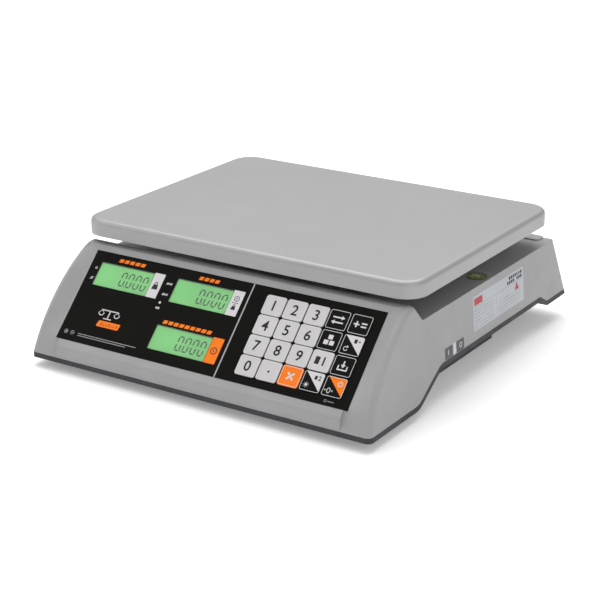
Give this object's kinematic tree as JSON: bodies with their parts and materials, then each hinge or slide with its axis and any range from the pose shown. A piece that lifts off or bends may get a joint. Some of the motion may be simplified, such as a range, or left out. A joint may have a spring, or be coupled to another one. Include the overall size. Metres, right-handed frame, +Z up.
{
  "type": "retail price scale",
  "caption": "Wedge-fronted counter price scale: sloping console with three displays and a keypad, flat weighing pan on a load cell, bubble level and levelling feet.",
  "frame": {"origin": "on the ground under the middle of the body", "axes": "+Z up, -Y towards the seller's console, +X to the seller's right"},
  "size_m": [0.33, 0.3568, 0.1125],
  "materials": {
    "housing_plastic": "light grey moulded, fine texture",
    "base_plastic": "dark grey moulded, fine texture",
    "overlay_film": "black printed film, satin",
    "window_film": "clear window in the film",
    "lcd_glass": "back-lit green display",
    "circuit_board": "glass-fibre board with solder resist",
    "pan_steel": "satin stainless sheet",
    "cast_aluminium": "machined or cast, matt",
    "pad_rubber": "soft rubber",
    "frame_steel": "zinc plated sheet",
    "fastener_steel": "zinc plated",
    "level_cup": "olive moulded cup",
    "level_fluid": "yellow-green spirit under clear acrylic",
    "black_plastic": "black moulded",
    "contact_brass": "nickel plated brass",
    "battery_case": "moulded battery case",
    "key_white": "light grey embossed key",
    "key_black": "black embossed key",
    "key_orange": "orange embossed key",
    "foot_rubber": "black rubber foot"
  },
  "bodies": {
    "body": {"upper_housing": "housing_plastic", "lower_housing": "base_plastic", "front_overlay": "overlay_film", "rear_overlay": "overlay_film", "front_windows": "window_film", "rear_windows": "window_film", "lcd_mass": "lcd_glass", "lcd_price": "lcd_glass", "lcd_total": "lcd_glass", "rear_displays": "lcd_glass", "display_board": "circuit_board", "keypad_board": "circuit_board", "rear_board": "circuit_board", "main_board": "circuit_board", "load_cell": "cast_aluminium", "lower_spacer": "cast_aluminium", "base_frame": "frame_steel", "housing_screws": "fastener_steel", "cell_bolts": "fastener_steel", "level_cup": "level_cup", "level_vial": "level_fluid", "inlet_body": "black_plastic", "switch_body": "black_plastic", "inlet_blades": "contact_brass", "battery": "battery_case"},
    "carrier": {"pan_carrier": "cast_aluminium", "pan_pads": "pad_rubber", "upper_spacer": "cast_aluminium", "carrier_bolts": "fastener_steel"},
    "pan": {"pan": "pan_steel"},
    "rocker": {"switch_rocker": "black_plastic"},
    "battery_door": {"battery_door": "base_plastic"},
    "key_1": {"key_1": "key_white"},
    "key_2": {"key_2": "key_white"},
    "key_3": {"key_3": "key_white"},
    "key_change": {"key_change": "key_black"},
    "key_sum": {"key_sum": "key_black"},
    "key_4": {"key_4": "key_white"},
    "key_5": {"key_5": "key_white"},
    "key_6": {"key_6": "key_white"},
    "key_pieces": {"key_pieces": "key_black"},
    "key_reset": {"key_reset": "key_black"},
    "key_7": {"key_7": "key_white"},
    "key_8": {"key_8": "key_white"},
    "key_9": {"key_9": "key_white"},
    "key_preset_one": {"key_preset_one": "key_white"},
    "key_tare": {"key_tare": "key_black"},
    "key_0": {"key_0": "key_white"},
    "key_point": {"key_point": "key_white"},
    "key_clear": {"key_clear": "key_orange"},
    "key_lamp": {"key_lamp": "key_black"},
    "key_zero": {"key_zero": "key_black"},
    "foot_front_left_stud": {"foot_front_left_stud": "fastener_steel"},
    "foot_front_left_pad": {"foot_front_left_pad": "foot_rubber"},
    "foot_front_right_stud": {"foot_front_right_stud": "fastener_steel"},
    "foot_front_right_pad": {"foot_front_right_pad": "foot_rubber"},
    "foot_rear_left_stud": {"foot_rear_left_stud": "fastener_steel"},
    "foot_rear_left_pad": {"foot_rear_left_pad": "foot_rubber"},
    "foot_rear_right_stud": {"foot_rear_right_stud": "fastener_steel"},
    "foot_rear_right_pad": {"foot_rear_right_pad": "foot_rubber"}
  },
  "joints": [
    {"name": "weigh_travel", "type": "slide", "parent": "body", "child": "carrier", "axis": [0, 0, -1], "range_m": [0, 0.0004], "stiffness_N_per_m": 60000, "springref_m": -0.0003, "deforming": ["load_cell"]},
    {"name": "pan_lift", "type": "slide", "parent": "carrier", "child": "pan", "axis": [0, 0, 1], "range_m": [0, 0.06]},
    {"name": "power_rocker", "type": "hinge", "parent": "body", "child": "rocker", "pos_m": [0.1396, -0.0394, 0.02], "axis": [0, 0, -1], "range_deg": [0, 14]},
    {"name": "battery_door_drop", "type": "slide", "parent": "body", "child": "battery_door", "axis": [0, 0, -1], "range_m": [0, 0.02]},
    {"name": "key_1_press", "type": "slide", "parent": "body", "child": "key_1", "axis": [0, 0.712, -0.7022], "range_m": [0, 0.0004], "stiffness_N_per_m": 1500},
    {"name": "key_2_press", "type": "slide", "parent": "body", "child": "key_2", "axis": [0, 0.712, -0.7022], "range_m": [0, 0.0004], "stiffness_N_per_m": 1500},
    {"name": "key_3_press", "type": "slide", "parent": "body", "child": "key_3", "axis": [0, 0.712, -0.7022], "range_m": [0, 0.0004], "stiffness_N_per_m": 1500},
    {"name": "key_change_press", "type": "slide", "parent": "body", "child": "key_change", "axis": [0, 0.712, -0.7022], "range_m": [0, 0.0004], "stiffness_N_per_m": 1500},
    {"name": "key_sum_press", "type": "slide", "parent": "body", "child": "key_sum", "axis": [0, 0.712, -0.7022], "range_m": [0, 0.0004], "stiffness_N_per_m": 1500},
    {"name": "key_4_press", "type": "slide", "parent": "body", "child": "key_4", "axis": [0, 0.712, -0.7022], "range_m": [0, 0.0004], "stiffness_N_per_m": 1500},
    {"name": "key_5_press", "type": "slide", "parent": "body", "child": "key_5", "axis": [0, 0.712, -0.7022], "range_m": [0, 0.0004], "stiffness_N_per_m": 1500},
    {"name": "key_6_press", "type": "slide", "parent": "body", "child": "key_6", "axis": [0, 0.712, -0.7022], "range_m": [0, 0.0004], "stiffness_N_per_m": 1500},
    {"name": "key_pieces_press", "type": "slide", "parent": "body", "child": "key_pieces", "axis": [0, 0.712, -0.7022], "range_m": [0, 0.0004], "stiffness_N_per_m": 1500},
    {"name": "key_reset_press", "type": "slide", "parent": "body", "child": "key_reset", "axis": [0, 0.712, -0.7022], "range_m": [0, 0.0004], "stiffness_N_per_m": 1500},
    {"name": "key_7_press", "type": "slide", "parent": "body", "child": "key_7", "axis": [0, 0.712, -0.7022], "range_m": [0, 0.0004], "stiffness_N_per_m": 1500},
    {"name": "key_8_press", "type": "slide", "parent": "body", "child": "key_8", "axis": [0, 0.712, -0.7022], "range_m": [0, 0.0004], "stiffness_N_per_m": 1500},
    {"name": "key_9_press", "type": "slide", "parent": "body", "child": "key_9", "axis": [0, 0.712, -0.7022], "range_m": [0, 0.0004], "stiffness_N_per_m": 1500},
    {"name": "key_preset_one_press", "type": "slide", "parent": "body", "child": "key_preset_one", "axis": [0, 0.712, -0.7022], "range_m": [0, 0.0004], "stiffness_N_per_m": 1500},
    {"name": "key_tare_press", "type": "slide", "parent": "body", "child": "key_tare", "axis": [0, 0.712, -0.7022], "range_m": [0, 0.0004], "stiffness_N_per_m": 1500},
    {"name": "key_0_press", "type": "slide", "parent": "body", "child": "key_0", "axis": [0, 0.712, -0.7022], "range_m": [0, 0.0004], "stiffness_N_per_m": 1500},
    {"name": "key_point_press", "type": "slide", "parent": "body", "child": "key_point", "axis": [0, 0.712, -0.7022], "range_m": [0, 0.0004], "stiffness_N_per_m": 1500},
    {"name": "key_clear_press", "type": "slide", "parent": "body", "child": "key_clear", "axis": [0, 0.712, -0.7022], "range_m": [0, 0.0004], "stiffness_N_per_m": 1500},
    {"name": "key_lamp_press", "type": "slide", "parent": "body", "child": "key_lamp", "axis": [0, 0.712, -0.7022], "range_m": [0, 0.0004], "stiffness_N_per_m": 1500},
    {"name": "key_zero_press", "type": "slide", "parent": "body", "child": "key_zero", "axis": [0, 0.712, -0.7022], "range_m": [0, 0.0004], "stiffness_N_per_m": 1500},
    {"name": "foot_front_left_screw", "type": "slide", "parent": "body", "child": "foot_front_left_stud", "axis": [0, 0, -1], "range_m": [0, 0.005]},
    {"name": "foot_front_left_turn", "type": "hinge", "parent": "foot_front_left_stud", "child": "foot_front_left_pad", "pos_m": [-0.104, -0.1444, 0.003], "axis": [0, 0, -1], "range_deg": [0, 1440]},
    {"name": "foot_front_right_screw", "type": "slide", "parent": "body", "child": "foot_front_right_stud", "axis": [0, 0, -1], "range_m": [0, 0.005]},
    {"name": "foot_front_right_turn", "type": "hinge", "parent": "foot_front_right_stud", "child": "foot_front_right_pad", "pos_m": [0.104, -0.1444, 0.003], "axis": [0, 0, -1], "range_deg": [0, 1440]},
    {"name": "foot_rear_left_screw", "type": "slide", "parent": "body", "child": "foot_rear_left_stud", "axis": [0, 0, -1], "range_m": [0, 0.005]},
    {"name": "foot_rear_left_turn", "type": "hinge", "parent": "foot_rear_left_stud", "child": "foot_rear_left_pad", "pos_m": [-0.104, 0.1436, 0.003], "axis": [0, 0, -1], "range_deg": [0, 1440]},
    {"name": "foot_rear_right_screw", "type": "slide", "parent": "body", "child": "foot_rear_right_stud", "axis": [0, 0, -1], "range_m": [0, 0.005]},
    {"name": "foot_rear_right_turn", "type": "hinge", "parent": "foot_rear_right_stud", "child": "foot_rear_right_pad", "pos_m": [0.104, 0.1436, 0.003], "axis": [0, 0, -1], "range_deg": [0, 1440]}
  ],
  "couplings": [
    {"joint": "foot_front_left_turn", "follows": "foot_front_left_screw", "rad_per_m": 5026.5},
    {"joint": "foot_front_right_turn", "follows": "foot_front_right_screw", "rad_per_m": 5026.5},
    {"joint": "foot_rear_left_turn", "follows": "foot_rear_left_screw", "rad_per_m": 5026.5},
    {"joint": "foot_rear_right_turn", "follows": "foot_rear_right_screw", "rad_per_m": 5026.5}
  ]
}
